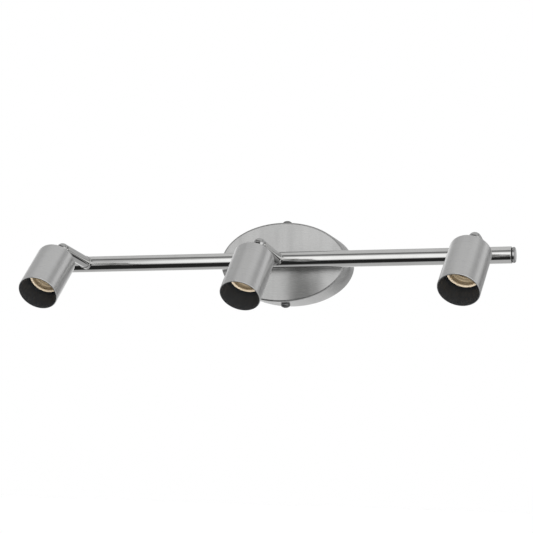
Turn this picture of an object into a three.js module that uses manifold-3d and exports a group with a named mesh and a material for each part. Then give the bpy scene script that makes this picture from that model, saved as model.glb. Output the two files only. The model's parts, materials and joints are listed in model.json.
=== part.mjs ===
// Three-head spotlight bar on an oval canopy, made as separate pieces in millimetres.
//
// Frame: the origin is the centre of the canopy's back rim, the face that meets the wall or
// ceiling. +Y goes into that surface, +X runs along the bar and +Z is up on a wall.
// Each arm has a frame of its own: its local +Z runs out along the stem from the bar's axis.
// Each head has one too: its origin is the tilt pivot and its local +Z points at the opening.

import * as THREE from 'three';
import { mergeVertices } from 'three/addons/utils/BufferGeometryUtils.js';
import Module from 'manifold-3d';

const wasm = await Module();
wasm.setup();

// ---- driving dimensions (mm and degrees) ----

const GAP = 0.3;                       // running gap between neighbouring pieces

const BAR_DIAMETER = 21;
const BAR_WALL = 1.2;
const BAR_HALF_LENGTH = 296;           // tube only, without its end caps
const BAR_STANDOFF = 65;               // wall to the bar's axis
const CAP_THICKNESS = 4.5;
const CAP_PLUG_DEPTH = 12;
const CAP_STEP = 0.7;                  // how much smaller than the tube a cap's rim is
const CAP_GROOVE = 1.2;                // between the tube's end and a cap's rim
const CAP_EDGE_RADIUS = 1.6;

const CANOPY_LENGTH = 166;             // long axis of the oval, along X
const CANOPY_WIDTH = 103;              // short axis, along Z
const CANOPY_DEPTH = 50.4;
const CANOPY_WALL = 1.5;
const CANOPY_EDGE_RADIUS = 2.5;

const SIDE_SCREW_DEPTH = 30;           // wall to the side screws' axis
const SIDE_SCREW_DIAMETER = 4;
const SIDE_SCREW_HEAD = 12;
const SIDE_SCREW_HEAD_HEIGHT = 5.2;
const SIDE_SCREW_LENGTH = 9;
const SIDE_SCREW_RECESS = 2.4;

const STRAP_THICKNESS = 2;
const STRAP_WIDTH = 18;
const EAR_LENGTH = 37;
const BOX_SLOT_WIDTH = 5;
const BOX_SLOT_LENGTH = 11;
const BOX_SLOT_OFFSET = 35;
const GROUND_SCREW = 4;
const GROUND_SCREW_HEAD = 8;
const GROUND_SCREW_HEAD_HEIGHT = 2.6;
const GROUND_SCREW_LENGTH = 8;
const GROUND_SCREW_RECESS = 1.6;
const GROUND_SCREW_OFFSET = -17;

const NIPPLE_DIAMETER = 9.5;
const NIPPLE_BORE = 6.5;
const NIPPLE_FLANGE = 12;
const NIPPLE_FLANGE_THICKNESS = 1.6;
const NIPPLE_TAIL = 16;                // how far the nipple reaches into the canopy
const CENTER_NUT = 16;                 // across its flats
const CENTER_NUT_THICKNESS = 4;
const SPACER_DIAMETER = 18;

const ARM_SPACING = 264;
const STEM_DIAMETER = 15.5;
const STEM_BORE = 11;
const STEM_LIFT = 5;                   // degrees that the stems rise above square to the wall
const PIVOT_DISTANCE = 81.7;           // bar axis to tilt pivot
const COLLAR_DIAMETER = 17;
const COLLAR_TOP = 14;                 // bar axis to the collar's outer face
const STEM_FLOOR = 3;
const BOLT_DIAMETER = 8;
const BOLT_BORE = 5;
const BOLT_TAIL = 1.5;                 // bar axis to the swivel bolt's inner end
const BOLT_FLANGE = 10.2;
const BOLT_FLANGE_THICKNESS = 1.8;
const LOCK_NUT = 12.5;                 // across its flats
const LOCK_NUT_FOOT = 2.2;             // bar axis to the lock nut's inner face
const LOCK_NUT_THICKNESS = 3;
const SLOT_WIDTH = 6.6;
const SLOT_RADIUS = 4.7;               // the slot's rounded roof, about the pivot
const HIGHEST_TILT = 30;               // degrees below the stem's line where the tongue stops
const PIVOT_PIN = 3;
const PIVOT_HEAD = 6;
const PIVOT_HEAD_HEIGHT = 1.4;
const PIVOT_HEAD_SEAT = 5.5;           // stem axis to the underside of the pivot screw's head
const PIVOT_TIP = 6.6;                 // stem axis to the pivot screw's tip
const PIVOT_RECESS = 0.8;

const TONGUE_THICKNESS = 6;
const TONGUE_RADIUS = 4.2;
const BOSS_DIAMETER = 19;
const BOSS_THICKNESS = 3;
const HEAD_OFFSET = 20;                // pivot to the head's closed end
const HEAD_DIAMETER = 50;
const HEAD_LENGTH = 69;
const HEAD_WALL = 1.3;
const HEAD_EDGE_RADIUS = 4;
const STUD_DIAMETER = 8;
const STUD_LENGTH = 9;
const STUD_NUT = 13;                   // across its flats
const STUD_NUT_THICKNESS = 4;
const WIRE_HOLE = 7;
const WIRE_HOLE_OFFSET = 14;

const SOCKET_RECESS = 26.5;            // opening to the lamp holder's face
const SOCKET_DIAMETER = 41;
const SOCKET_MOUTH = 35.5;
const SOCKET_BODY = 31;
const SOCKET_BORE = 29;
const SOCKET_BASE = 31;                // pivot to the lamp holder's base
const SOCKET_FLOOR = 4;
const SOCKET_COLLAR_FOOT = 45;         // pivot to where the lamp holder is at its widest
const SOCKET_COLLAR_SLOPE = 3;
const SOCKET_RIM_CHAMFER = 0.8;
const MOUTH_DEPTH = 5;                 // straight part of the mouth
const THROAT_DEPTH = 9;                // lamp holder's face to the start of its bore
const SCREW_SHELL_WALL = 0.6;
const SCREW_SHELL_LIP = 1.2;           // how far the screw shell stays below the face
const SCREW_SHELL_HOLE = 16;
const CONTACT_DIAMETER = 10;
const CONTACT_THICKNESS = 0.8;
const CONTACT_TIP_RADIUS = 3;
const CONTACT_HEIGHT = 4.2;
const BRACKET_THICKNESS = 1.2;
const BRACKET_WIDTH = 10;
const BRACKET_GRIP = 11;               // how far the bracket's legs reach up the lamp holder
const GROMMET_BORE = 4;
const GROMMET_LIP = 0.9;               // beyond the wire hole, on each side
const GROMMET_LIP_THICKNESS = 1;

// resting pose of each head: where it hangs along the bar, how far its stem is turned and
// how far the head is tilted down from the stem's line
const ARMS = [
  { side: 'left', x: -ARM_SPACING, swivel: -1, tilt: 51.5 },
  { side: 'middle', x: 0, swivel: -4, tilt: 58 },
  { side: 'right', x: ARM_SPACING, swivel: -7, tilt: 55.5 },
];

const BAR_RADIUS = BAR_DIAMETER / 2;
const STEM_FOOT = COLLAR_TOP + GAP;
const STEM_TURN = 90 - STEM_LIFT;      // turn about X that lays an arm's +Z along its stem
const BRACKET_SEAT = HEAD_OFFSET + HEAD_WALL + GAP;
const SOCKET_FACE = HEAD_OFFSET + HEAD_LENGTH - SOCKET_RECESS;
const HOLE_PLAY = 2 * GAP;             // added to a diameter for the hole around it

const ROUND = 32;                      // sides of the large round pieces
const MEDIUM = 22;                     // sides of the middle-sized round pieces
const SMALL = 12;                      // sides of the small round pieces

// ---- finishes ----

function finish(color, roughness, metalness) {
  return new THREE.MeshStandardMaterial({ color, roughness, metalness });
}

const SATIN_NICKEL = finish(0xb4b3b0, 0.35, 1.0);
const POLISHED_NICKEL = finish(0xc4c3c0, 0.12, 1.0);
const ZINC = finish(0x9a9c9e, 0.45, 1.0);
const BRASS = finish(0xa98f5e, 0.4, 1.0);
const PORCELAIN = finish(0xe2d6c0, 0.45, 0.0);
const GREEN = finish(0x2f7a46, 0.5, 0.3);
const RUBBER = finish(0x1b1b1b, 0.8, 0.0);

// ---- solids: three.js geometry in, three.js geometry out ----

function solid(geometry) {
  const bare = geometry.clone();
  bare.deleteAttribute('normal');
  bare.deleteAttribute('uv');
  const merged = mergeVertices(bare, 1e-4);
  const vertProperties = new Float32Array(merged.attributes.position.array);
  const triVerts = [];
  for (let i = 0; i < merged.index.count; i += 3) {
    const corners = [0, 1, 2].map((k) => merged.index.getX(i + k));
    if (new Set(corners).size === 3) triVerts.push(...corners);
  }
  return new wasm.Manifold(new wasm.Mesh({
    numProp: 3, vertProperties, triVerts: new Uint32Array(triVerts),
  }));
}

function toGeometry(manifold) {
  const mesh = manifold.getMesh();
  const geometry = new THREE.BufferGeometry();
  geometry.setAttribute('position', new THREE.BufferAttribute(mesh.vertProperties, 3));
  geometry.setIndex(new THREE.BufferAttribute(mesh.triVerts, 1));
  geometry.computeVertexNormals();
  return geometry;
}

// A turned solid about +Z. The outline lists [radius, height] from its lowest point on the
// axis, outwards and up; one that stays off the axis is closed by repeating its first point.
function turned(outline, sides = SMALL) {
  const points = outline.map(([radius, height]) => new THREE.Vector2(radius, height));
  return solid(new THREE.LatheGeometry(points, sides).rotateX(Math.PI / 2));
}

function rod(diameter, from, to, sides = SMALL) {
  const radius = diameter / 2;
  return turned([[0, from], [radius, from], [radius, to], [0, to]], sides);
}

function tube(outer, inner, from, to, sides = SMALL) {
  const [big, small] = [outer / 2, inner / 2];
  return turned([[small, from], [big, from], [big, to], [small, to], [small, from]], sides);
}

function box(width, depth, height, x = 0, y = 0, z = 0) {
  return solid(new THREE.BoxGeometry(width, depth, height).translate(x, y, z));
}

function hexagon(acrossFlats, from, to) {
  return rod(acrossFlats / Math.cos(Math.PI / 6), from, to, 6);
}

function nut(acrossFlats, hole, from, to) {
  return hexagon(acrossFlats, from, to).subtract(rod(hole, from - 1, to + 1));
}

// arc of an outline from one angle to another, in degrees, about a centre
function arc(radius, centreRadius, centreHeight, fromAngle, toAngle, steps = 3) {
  const points = [];
  for (let i = 0; i <= steps; i += 1) {
    const angle = THREE.MathUtils.degToRad(fromAngle + ((toAngle - fromAngle) * i) / steps);
    points.push([
      centreRadius + radius * Math.cos(angle),
      centreHeight + radius * Math.sin(angle),
    ]);
  }
  return points;
}

function mesh(name, manifold, material) {
  const piece = new THREE.Mesh(toGeometry(manifold), material);
  piece.name = name;
  return piece;
}

// ---- canopy and what holds it up ----

// An oval block about +Z, from height 0 up, with a rounded edge at the top.
function ovalBlock(length, width, height, edgeRadius) {
  const oval = new THREE.Shape();
  oval.absellipse(0, 0, length / 2 - edgeRadius, width / 2 - edgeRadius, 0, 2 * Math.PI, false, 0);
  const block = solid(new THREE.ExtrudeGeometry(oval, {
    depth: height,
    curveSegments: 44,
    bevelEnabled: edgeRadius > 0,
    bevelSize: edgeRadius,
    bevelThickness: edgeRadius,
    bevelSegments: 2,
  }).translate(0, 0, -edgeRadius));
  const below = box(2 * length, 2 * width, 2 * edgeRadius, 0, 0, -edgeRadius);
  return edgeRadius > 0 ? block.subtract(below) : block;
}

// one long hole that goes through both sides of whatever it is cut from
function sideScrewHoles() {
  const radius = SIDE_SCREW_DIAMETER / 2 + GAP;
  return solid(
    new THREE.CylinderGeometry(radius, radius, 2 * CANOPY_WIDTH, SMALL)
      .translate(0, 0, SIDE_SCREW_DEPTH),
  );
}

// The canopy's own height axis is +Z here; it is turned to face -Y when it is placed.
function canopySolid() {
  const outer = ovalBlock(CANOPY_LENGTH, CANOPY_WIDTH, CANOPY_DEPTH, CANOPY_EDGE_RADIUS);
  const hollow = ovalBlock(
    CANOPY_LENGTH - 2 * CANOPY_WALL,
    CANOPY_WIDTH - 2 * CANOPY_WALL,
    CANOPY_DEPTH - CANOPY_WALL,
    0,
  );
  const centreHole = rod(NIPPLE_DIAMETER + HOLE_PLAY, 0, CANOPY_DEPTH + 1);
  return outer.subtract(hollow.translate([0, 0, -1]).add(hollow))
    .subtract(centreHole).subtract(sideScrewHoles());
}

// A U-shaped strap across the canopy's short axis, with an ear for each side screw. Its
// slots take the screws of the junction box, and its middle is plain.
function bracketSolid() {
  const halfSpan = CANOPY_WIDTH / 2 - CANOPY_WALL - 2 * GAP;
  const strap = box(STRAP_WIDTH, 2 * halfSpan, STRAP_THICKNESS, 0, 0, STRAP_THICKNESS / 2);
  const ear = (side) => box(
    STRAP_WIDTH, STRAP_THICKNESS, EAR_LENGTH,
    0, side * (halfSpan - STRAP_THICKNESS / 2), EAR_LENGTH / 2,
  );
  const boxSlot = (side) => box(
    BOX_SLOT_WIDTH, BOX_SLOT_LENGTH, 3 * STRAP_THICKNESS, 0, side * BOX_SLOT_OFFSET, 0,
  );
  const groundHole = rod(GROUND_SCREW + HOLE_PLAY, -1, STRAP_THICKNESS + 1)
    .translate([0, GROUND_SCREW_OFFSET, 0]);
  return strap.add(ear(1)).add(ear(-1))
    .subtract(boxSlot(1)).subtract(boxSlot(-1))
    .subtract(groundHole).subtract(sideScrewHoles());
}

// A round-headed screw along +Z: its head sits above height 0 and its shank goes below.
function roundScrew(shank, head, headHeight, length, recess) {
  const radius = head / 2;
  const dome = arc(1, 0, 0, 0, 90, 3).map(([r, h]) => [r * radius, headHeight * (0.35 + 0.65 * h)]);
  const body = turned([
    [0, -length], [shank / 2, -length], [shank / 2, 0], [radius, 0],
    ...dome.slice(0, -1), [0, headHeight],
  ]);
  const slot = (width, depth) => box(width, depth, recess, 0, 0, headHeight);
  return body.subtract(slot(head * 0.55, head * 0.14)).subtract(slot(head * 0.14, head * 0.55));
}

// The nipple's flange lies inside the bar, against the wall that faces the canopy.
function nippleSolid() {
  const boreRadius = BAR_RADIUS - BAR_WALL;
  const seat = BAR_STANDOFF - Math.sqrt(boreRadius ** 2 - (NIPPLE_FLANGE / 2) ** 2) + GAP;
  const top = seat + NIPPLE_FLANGE_THICKNESS;
  const flange = rod(NIPPLE_FLANGE, seat, top);
  const shank = rod(NIPPLE_DIAMETER, CANOPY_DEPTH - NIPPLE_TAIL, (seat + top) / 2);
  return shank.add(flange).subtract(rod(NIPPLE_BORE, 0, top + 1));
}

// A round pad that follows the bar's curve on one side. Height 0 is the bar's axis.
function saddle(diameter, top, hole) {
  const pad = rod(diameter, 0, top, MEDIUM);
  const bar = solid(
    new THREE.CylinderGeometry(BAR_RADIUS + GAP, BAR_RADIUS + GAP, 60, ROUND)
      .rotateZ(Math.PI / 2),
  );
  return pad.subtract(bar).subtract(rod(hole, -1, top + 1));
}

function canopyAssembly() {
  const group = new THREE.Group();
  group.rotation.x = Math.PI / 2;
  const nutFace = CANOPY_DEPTH - CANOPY_WALL - GAP;
  group.add(mesh('canopy', canopySolid(), SATIN_NICKEL));
  group.add(mesh('mounting_bracket', bracketSolid(), ZINC));
  group.add(mesh('center_nipple', nippleSolid(), ZINC));
  const centerNut = nut(
    CENTER_NUT, NIPPLE_DIAMETER + HOLE_PLAY, nutFace - CENTER_NUT_THICKNESS, nutFace,
  );
  group.add(mesh('center_nut', centerNut, ZINC));

  const ground = roundScrew(
    GROUND_SCREW, GROUND_SCREW_HEAD, GROUND_SCREW_HEAD_HEIGHT,
    GROUND_SCREW_LENGTH, GROUND_SCREW_RECESS,
  ).translate([0, GROUND_SCREW_OFFSET, STRAP_THICKNESS + GAP]);
  group.add(mesh('ground_screw', ground, GREEN));

  for (const [end, side] of [['top', 1], ['bottom', -1]]) {
    const screw = roundScrew(
      SIDE_SCREW_DIAMETER, SIDE_SCREW_HEAD, SIDE_SCREW_HEAD_HEIGHT,
      SIDE_SCREW_LENGTH, SIDE_SCREW_RECESS,
    );
    const piece = mesh(`canopy_screw_${end}`, screw, POLISHED_NICKEL);
    piece.rotation.x = -side * Math.PI / 2;
    piece.position.set(0, side * (CANOPY_WIDTH / 2 + GAP), SIDE_SCREW_DEPTH);
    group.add(piece);
  }

  const spacer = mesh(
    'bar_spacer',
    saddle(SPACER_DIAMETER, BAR_STANDOFF - CANOPY_DEPTH - GAP, NIPPLE_DIAMETER + HOLE_PLAY),
    POLISHED_NICKEL,
  );
  spacer.rotation.x = Math.PI;
  spacer.position.z = BAR_STANDOFF;
  group.add(spacer);
  return group;
}

// ---- bar ----

// The tube runs along X, with its axis through the origin and +Z pointing away from the wall.
function barSolid() {
  const tubeAlongZ = tube(
    BAR_DIAMETER, BAR_DIAMETER - 2 * BAR_WALL, -BAR_HALF_LENGTH, BAR_HALF_LENGTH, ROUND,
  );
  let bar = tubeAlongZ.rotate([0, 90, 0]);
  for (const arm of ARMS) {
    const hole = rod(BOLT_DIAMETER + HOLE_PLAY, 0, BAR_DIAMETER)
      .rotate([STEM_TURN - 90, 0, 0])
      .translate([arm.x, 0, 0]);
    bar = bar.subtract(hole);
  }
  return bar.subtract(rod(NIPPLE_DIAMETER + HOLE_PLAY, -BAR_DIAMETER, 0));
}

function capSolid() {
  const bore = BAR_DIAMETER - 2 * BAR_WALL - HOLE_PLAY;
  const rim = BAR_RADIUS - CAP_STEP;
  const edge = CAP_EDGE_RADIUS;
  return turned([
    [0, -CAP_PLUG_DEPTH], [bore / 2, -CAP_PLUG_DEPTH], [bore / 2, CAP_GROOVE], [rim, CAP_GROOVE],
    ...arc(edge, rim - edge, CAP_THICKNESS - edge, 0, 90, 2), [0, CAP_THICKNESS],
  ], MEDIUM);
}

function barAssembly() {
  const group = new THREE.Group();
  group.position.y = -BAR_STANDOFF;
  group.rotation.x = Math.PI / 2;
  group.add(mesh('bar_tube', barSolid(), POLISHED_NICKEL));
  for (const [end, side] of [['left', -1], ['right', 1]]) {
    const cap = mesh(`end_cap_${end}`, capSolid(), POLISHED_NICKEL);
    cap.rotation.y = side * Math.PI / 2;
    cap.position.x = side * BAR_HALF_LENGTH;
    group.add(cap);
  }
  return group;
}

// ---- one arm: swivel joint, stem and tilt pivot ----

function swivelBoltSolid() {
  const flange = STEM_FOOT + STEM_FLOOR + GAP;
  const top = flange + BOLT_FLANGE_THICKNESS;
  return rod(BOLT_DIAMETER, BOLT_TAIL, (flange + top) / 2)
    .add(rod(BOLT_FLANGE, flange, top))
    .subtract(rod(BOLT_BORE, 0, top + 1));
}

// The room for the head's tongue: open below, round over the pivot, and open in front only
// as far up as the tongue comes at its highest.
function slotSolid() {
  const lift = THREE.MathUtils.degToRad(HIGHEST_TILT);
  const reach = 2 * STEM_DIAMETER;
  const outline = new THREE.Shape();
  outline.moveTo(-SLOT_RADIUS, -STEM_DIAMETER);
  outline.lineTo(-SLOT_RADIUS, 0);
  outline.absarc(0, 0, SLOT_RADIUS, Math.PI, Math.PI / 2 - lift, true);
  outline.lineTo(
    SLOT_RADIUS * Math.sin(lift) + reach * Math.cos(lift),
    SLOT_RADIUS * Math.cos(lift) - reach * Math.sin(lift),
  );
  outline.closePath();
  return solid(
    new THREE.ExtrudeGeometry(outline, {
      depth: SLOT_WIDTH, bevelEnabled: false, curveSegments: 10,
    }).translate(0, 0, -SLOT_WIDTH / 2).rotateY(-Math.PI / 2),
  ).translate([0, 0, PIVOT_DISTANCE]);
}

// A hollow rod with a rounded end, which is slotted for the head's tongue.
function stemSolid() {
  const radius = STEM_DIAMETER / 2;
  const end = PIVOT_DISTANCE + radius;
  const body = turned([
    [0, STEM_FOOT], [radius, STEM_FOOT], [radius, PIVOT_DISTANCE],
    ...arc(radius, 0, PIVOT_DISTANCE, 0, 90, 4).slice(1, -1), [0, end],
  ], MEDIUM);
  const slotFloor = PIVOT_DISTANCE - SLOT_RADIUS;
  const alongPivot = (piece) => piece.rotate([0, 90, 0]).translate([0, 0, PIVOT_DISTANCE]);
  const pinHole = alongPivot(rod(PIVOT_PIN + HOLE_PLAY, -PIVOT_TIP - GAP, STEM_DIAMETER));
  const headSeat = alongPivot(rod(PIVOT_HEAD + HOLE_PLAY, PIVOT_HEAD_SEAT - GAP, STEM_DIAMETER));
  return body
    .subtract(rod(STEM_BORE, STEM_FOOT + STEM_FLOOR, slotFloor + 1, 16))
    .subtract(rod(BOLT_DIAMETER + HOLE_PLAY, 0, STEM_FOOT + STEM_FLOOR + 1))
    .subtract(slotSolid()).subtract(pinHole).subtract(headSeat);
}

// The screw lies along +Z here and is turned along X at the pivot.
function pivotScrewSolid() {
  return roundScrew(
    PIVOT_PIN, PIVOT_HEAD, PIVOT_HEAD_HEIGHT, PIVOT_HEAD_SEAT + PIVOT_TIP, PIVOT_RECESS,
  );
}

function armFixings(arm) {
  const group = new THREE.Group();
  group.position.set(arm.x, -BAR_STANDOFF, 0);
  group.rotation.x = THREE.MathUtils.degToRad(STEM_TURN);
  const collar = saddle(COLLAR_DIAMETER, COLLAR_TOP, BOLT_DIAMETER + HOLE_PLAY);
  group.add(mesh(`stem_collar_${arm.side}`, collar, POLISHED_NICKEL));
  group.add(mesh(`swivel_bolt_${arm.side}`, swivelBoltSolid(), ZINC));
  const lockNut = nut(
    LOCK_NUT, BOLT_DIAMETER + HOLE_PLAY, LOCK_NUT_FOOT, LOCK_NUT_FOOT + LOCK_NUT_THICKNESS,
  );
  group.add(mesh(`swivel_nut_${arm.side}`, lockNut, ZINC));
  return group;
}

// ---- one head ----

// A round-ended tongue on a round boss, with a stud that goes through the shell's end.
function knuckleSolid() {
  const bossFoot = HEAD_OFFSET - BOSS_THICKNESS;
  const outline = new THREE.Shape();
  outline.moveTo(-TONGUE_RADIUS, bossFoot + 1);
  outline.lineTo(-TONGUE_RADIUS, 0);
  outline.absarc(0, 0, TONGUE_RADIUS, Math.PI, 2 * Math.PI, false);
  outline.lineTo(TONGUE_RADIUS, bossFoot + 1);
  outline.closePath();
  const tongue = solid(
    new THREE.ExtrudeGeometry(outline, {
      depth: TONGUE_THICKNESS, bevelEnabled: false, curveSegments: 10,
    }).translate(0, 0, -TONGUE_THICKNESS / 2).rotateX(Math.PI / 2).rotateZ(Math.PI / 2),
  );
  const pinHole = rod(PIVOT_PIN + HOLE_PLAY, -TONGUE_THICKNESS, TONGUE_THICKNESS)
    .rotate([0, 90, 0]);
  const boss = rod(BOSS_DIAMETER, bossFoot, HEAD_OFFSET - GAP, MEDIUM);
  const stud = rod(STUD_DIAMETER, HEAD_OFFSET - 1, HEAD_OFFSET + STUD_LENGTH);
  return tongue.subtract(pinHole).add(boss).add(stud);
}

function shellSolid() {
  const radius = HEAD_DIAMETER / 2;
  const inner = radius - HEAD_WALL;
  const back = HEAD_OFFSET;
  const front = HEAD_OFFSET + HEAD_LENGTH;
  const hole = STUD_DIAMETER / 2 + GAP;
  const innerEdge = HEAD_EDGE_RADIUS - HEAD_WALL;
  const shell = turned([
    [hole, back],
    ...arc(HEAD_EDGE_RADIUS, radius - HEAD_EDGE_RADIUS, back + HEAD_EDGE_RADIUS, 270, 360, 2),
    [radius, front], [inner, front],
    ...arc(innerEdge, inner - innerEdge, back + HEAD_EDGE_RADIUS, 360, 270, 1),
    [hole, back + HEAD_WALL], [hole, back],
  ], ROUND);
  return shell.subtract(
    rod(WIRE_HOLE, back - 1, back + HEAD_WALL + 1).translate([0, WIRE_HOLE_OFFSET, 0]),
  );
}

function grommetSolid() {
  const bore = GROMMET_BORE / 2;
  const neck = WIRE_HOLE / 2 - GAP;
  const lip = WIRE_HOLE / 2 + GROMMET_LIP;
  const outside = HEAD_OFFSET - GAP;
  const inside = HEAD_OFFSET + HEAD_WALL + GAP;
  const foot = outside - GROMMET_LIP_THICKNESS;
  const top = inside + GROMMET_LIP_THICKNESS;
  return turned([
    [bore, foot], [lip, foot], [lip, outside], [neck, outside],
    [neck, inside], [lip, inside], [lip, top], [bore, top], [bore, foot],
  ]).translate([0, WIRE_HOLE_OFFSET, 0]);
}

// A strap under the stud's nut, with two legs that grip the sides of the lamp holder.
function socketBracketSolid() {
  const legX = SOCKET_BODY / 2 + GAP + BRACKET_THICKNESS / 2;
  const legTop = SOCKET_BASE + BRACKET_GRIP;
  const strap = box(
    2 * legX + BRACKET_THICKNESS, BRACKET_WIDTH, BRACKET_THICKNESS,
    0, 0, BRACKET_SEAT + BRACKET_THICKNESS / 2,
  );
  const leg = (side) => box(
    BRACKET_THICKNESS, BRACKET_WIDTH, legTop - BRACKET_SEAT,
    side * legX, 0, (legTop + BRACKET_SEAT) / 2,
  );
  const studHole = rod(
    STUD_DIAMETER + HOLE_PLAY, BRACKET_SEAT - 1, BRACKET_SEAT + BRACKET_THICKNESS + 1,
  );
  return strap.add(leg(1)).add(leg(-1)).subtract(studHole);
}

function socketSolid() {
  const floor = SOCKET_BASE + SOCKET_FLOOR;
  const body = SOCKET_BODY / 2;
  const collar = SOCKET_DIAMETER / 2;
  return turned([
    [0, SOCKET_BASE], [body, SOCKET_BASE], [body, SOCKET_COLLAR_FOOT - SOCKET_COLLAR_SLOPE],
    [collar, SOCKET_COLLAR_FOOT], [collar, SOCKET_FACE - SOCKET_RIM_CHAMFER],
    [collar - SOCKET_RIM_CHAMFER, SOCKET_FACE], [SOCKET_MOUTH / 2, SOCKET_FACE],
    [SOCKET_MOUTH / 2, SOCKET_FACE - MOUTH_DEPTH], [SOCKET_BORE / 2, SOCKET_FACE - THROAT_DEPTH],
    [SOCKET_BORE / 2, floor], [0, floor],
  ], MEDIUM);
}

// The threaded shell, with its mouth flared to guide the lamp's cap.
function screwShellSolid() {
  const hole = SCREW_SHELL_HOLE / 2;
  const mouth = SOCKET_MOUTH / 2 - GAP;
  const neck = SOCKET_BORE / 2 - GAP;
  const wall = SCREW_SHELL_WALL;
  const foot = SOCKET_BASE + SOCKET_FLOOR + GAP;
  const lip = SOCKET_FACE - SCREW_SHELL_LIP;
  const shoulder = SOCKET_FACE - MOUTH_DEPTH + GAP;
  const throat = SOCKET_FACE - THROAT_DEPTH + GAP;
  return turned([
    [hole, foot], [neck, foot], [neck, throat], [mouth, shoulder], [mouth, lip],
    [mouth - wall, lip], [mouth - wall, shoulder + GAP], [neck - wall, throat + GAP],
    [neck - wall, foot + wall], [hole, foot + wall], [hole, foot],
  ], MEDIUM);
}

function contactSolid() {
  const foot = SOCKET_BASE + SOCKET_FLOOR + GAP;
  const disc = foot + CONTACT_THICKNESS;
  const top = foot + CONTACT_HEIGHT;
  const dome = arc(CONTACT_TIP_RADIUS, 0, top - CONTACT_TIP_RADIUS, 0, 90, 2);
  return turned([
    [0, foot], [CONTACT_DIAMETER / 2, foot], [CONTACT_DIAMETER / 2, disc],
    ...dome.slice(0, -1), [0, top],
  ]);
}

function headAssembly(side) {
  const group = new THREE.Group();
  group.position.z = PIVOT_DISTANCE;
  const nutFoot = BRACKET_SEAT + BRACKET_THICKNESS + GAP;
  group.add(mesh(`knuckle_${side}`, knuckleSolid(), SATIN_NICKEL));
  group.add(mesh(`shell_${side}`, shellSolid(), SATIN_NICKEL));
  group.add(mesh(`wire_grommet_${side}`, grommetSolid(), RUBBER));
  const studNut = nut(
    STUD_NUT, STUD_DIAMETER + HOLE_PLAY, nutFoot, nutFoot + STUD_NUT_THICKNESS,
  );
  group.add(mesh(`knuckle_nut_${side}`, studNut, ZINC));
  group.add(mesh(`socket_bracket_${side}`, socketBracketSolid(), ZINC));
  group.add(mesh(`socket_body_${side}`, socketSolid(), PORCELAIN));
  group.add(mesh(`screw_shell_${side}`, screwShellSolid(), BRASS));
  group.add(mesh(`center_contact_${side}`, contactSolid(), BRASS));
  return group;
}

// The part of an arm that swivels, with its head on the pivot.
function armAssembly(arm) {
  const mount = new THREE.Group();
  mount.position.set(arm.x, -BAR_STANDOFF, 0);
  mount.rotation.x = THREE.MathUtils.degToRad(STEM_TURN);
  const turning = new THREE.Group();
  turning.rotation.z = THREE.MathUtils.degToRad(arm.swivel);
  mount.add(turning);

  turning.add(mesh(`stem_${arm.side}`, stemSolid(), POLISHED_NICKEL));
  const screw = mesh(`pivot_screw_${arm.side}`, pivotScrewSolid(), POLISHED_NICKEL);
  screw.rotation.y = Math.PI / 2;
  screw.position.set(PIVOT_HEAD_SEAT, 0, PIVOT_DISTANCE);
  turning.add(screw);

  const head = headAssembly(arm.side);
  head.rotation.x = THREE.MathUtils.degToRad(arm.tilt);
  turning.add(head);
  return mount;
}

// ---- the whole fixture ----

const group = new THREE.Group();
group.add(canopyAssembly());
group.add(barAssembly());
for (const arm of ARMS) {
  group.add(armFixings(arm));
  group.add(armAssembly(arm));
}

export default group;
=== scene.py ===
# Looks for a three-head spotlight bar on an oval canopy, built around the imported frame.
#
# Shapes are written in millimetres in the frame of the piece they belong to and placed in
# metres by a matrix. A turned piece has its axis along its own Z. The frames are read from
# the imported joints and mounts: the canopy's Z points out of the wall, an arm's Z runs out
# along its stem from the bar's axis, and a head's Z points out of its opening.

import json
import math

import bmesh
import bpy
from mathutils import Matrix, Vector

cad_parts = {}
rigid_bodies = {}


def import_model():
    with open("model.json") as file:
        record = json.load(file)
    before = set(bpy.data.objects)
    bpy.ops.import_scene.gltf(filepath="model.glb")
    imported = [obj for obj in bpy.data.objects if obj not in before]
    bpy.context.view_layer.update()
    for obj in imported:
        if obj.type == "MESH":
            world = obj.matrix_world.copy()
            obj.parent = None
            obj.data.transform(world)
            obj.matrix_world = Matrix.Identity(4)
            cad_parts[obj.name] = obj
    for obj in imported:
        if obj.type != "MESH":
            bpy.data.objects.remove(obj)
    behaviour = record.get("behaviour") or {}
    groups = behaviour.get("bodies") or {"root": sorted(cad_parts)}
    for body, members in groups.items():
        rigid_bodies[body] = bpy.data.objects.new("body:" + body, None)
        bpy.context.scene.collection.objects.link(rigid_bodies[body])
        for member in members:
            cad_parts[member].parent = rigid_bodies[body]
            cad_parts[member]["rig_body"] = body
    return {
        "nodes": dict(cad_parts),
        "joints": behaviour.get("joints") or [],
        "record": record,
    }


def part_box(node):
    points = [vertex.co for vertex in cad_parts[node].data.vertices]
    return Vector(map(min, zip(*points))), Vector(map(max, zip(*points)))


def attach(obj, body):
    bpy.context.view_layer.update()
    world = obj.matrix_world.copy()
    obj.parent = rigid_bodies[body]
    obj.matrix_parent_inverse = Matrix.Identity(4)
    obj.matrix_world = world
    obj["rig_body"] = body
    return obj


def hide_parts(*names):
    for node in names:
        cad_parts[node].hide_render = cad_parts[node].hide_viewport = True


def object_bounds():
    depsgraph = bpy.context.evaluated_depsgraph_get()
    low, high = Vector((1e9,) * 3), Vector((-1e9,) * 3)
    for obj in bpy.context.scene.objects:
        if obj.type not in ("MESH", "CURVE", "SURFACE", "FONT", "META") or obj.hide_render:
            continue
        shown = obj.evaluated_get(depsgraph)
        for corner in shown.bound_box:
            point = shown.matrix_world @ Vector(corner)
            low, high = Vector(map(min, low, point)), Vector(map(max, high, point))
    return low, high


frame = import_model()
CAD_BOX = [list(corner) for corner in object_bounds()]

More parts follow.
